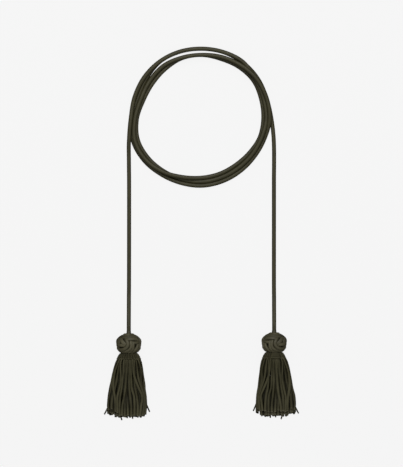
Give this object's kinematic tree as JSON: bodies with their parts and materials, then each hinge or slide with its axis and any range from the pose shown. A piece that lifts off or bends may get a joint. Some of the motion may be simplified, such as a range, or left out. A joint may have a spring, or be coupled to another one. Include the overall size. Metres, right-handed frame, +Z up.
{
  "type": "tasselled leather cord belt",
  "caption": "Long round leather cord belt, laid flat with its middle coiled into an open ring and two straight leads, each ending in a plaited knot and a thong tassel.",
  "frame": {"origin": "on the floor under the belt, in the middle of the box that holds the two tassels", "axes": "+X from the left tassel to the right one, +Y from the tassels towards the ring, +Z up from the floor that the belt lies on"},
  "size_m": [0.2026, 0.388, 0.0231],
  "materials": {
    "cord_leather": "smooth dark olive leather, soft sheen",
    "knot_leather": "smooth dark olive leather, soft sheen, paler on the crowns of the plies",
    "band_leather": "gathered dark olive leather, soft sheen",
    "fringe_leather": "thin cut dark olive leather thongs, low sheen"
  },
  "bodies": {
    "root": {"cord": "cord_leather", "left_knot": "knot_leather", "right_knot": "knot_leather", "left_neck_band": "band_leather", "right_neck_band": "band_leather", "left_fringe": "fringe_leather", "right_fringe": "fringe_leather"}
  },
  "joints": []
}
